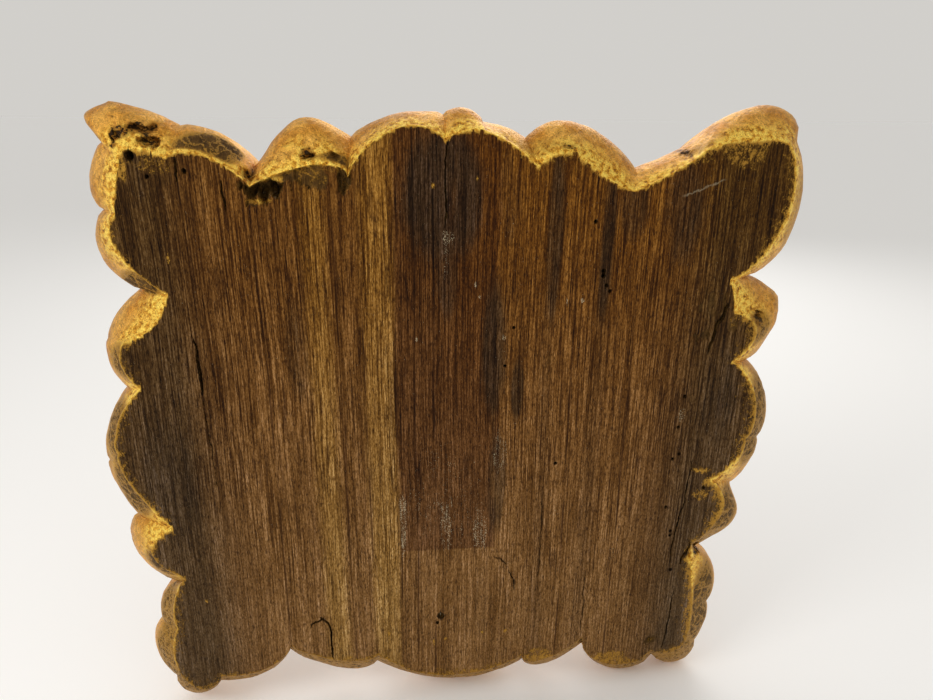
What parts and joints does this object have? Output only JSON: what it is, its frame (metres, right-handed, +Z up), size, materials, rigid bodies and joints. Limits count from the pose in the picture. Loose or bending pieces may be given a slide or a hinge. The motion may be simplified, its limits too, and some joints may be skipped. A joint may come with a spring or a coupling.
{
  "type": "carved wooden rosette",
  "caption": "Square carved and gilded wooden rosette with a scalloped leaf edge, a flower with a domed boss, and a flat bare wooden back.",
  "frame": {"origin": "middle of the flat back, where the rosette meets what it is fixed to", "axes": "+Y is the outward normal of the back, the carving stands towards -Y, and +Z is up as the rosette hangs"},
  "size_m": [0.3687, 0.063, 0.3512],
  "materials": {
    "gilded_wood": "worn gold leaf on the carved front and edge, bare dark brown wood with an open vertical grain on the back"
  },
  "bodies": {
    "root": {"rosette": "gilded_wood"}
  },
  "joints": []
}
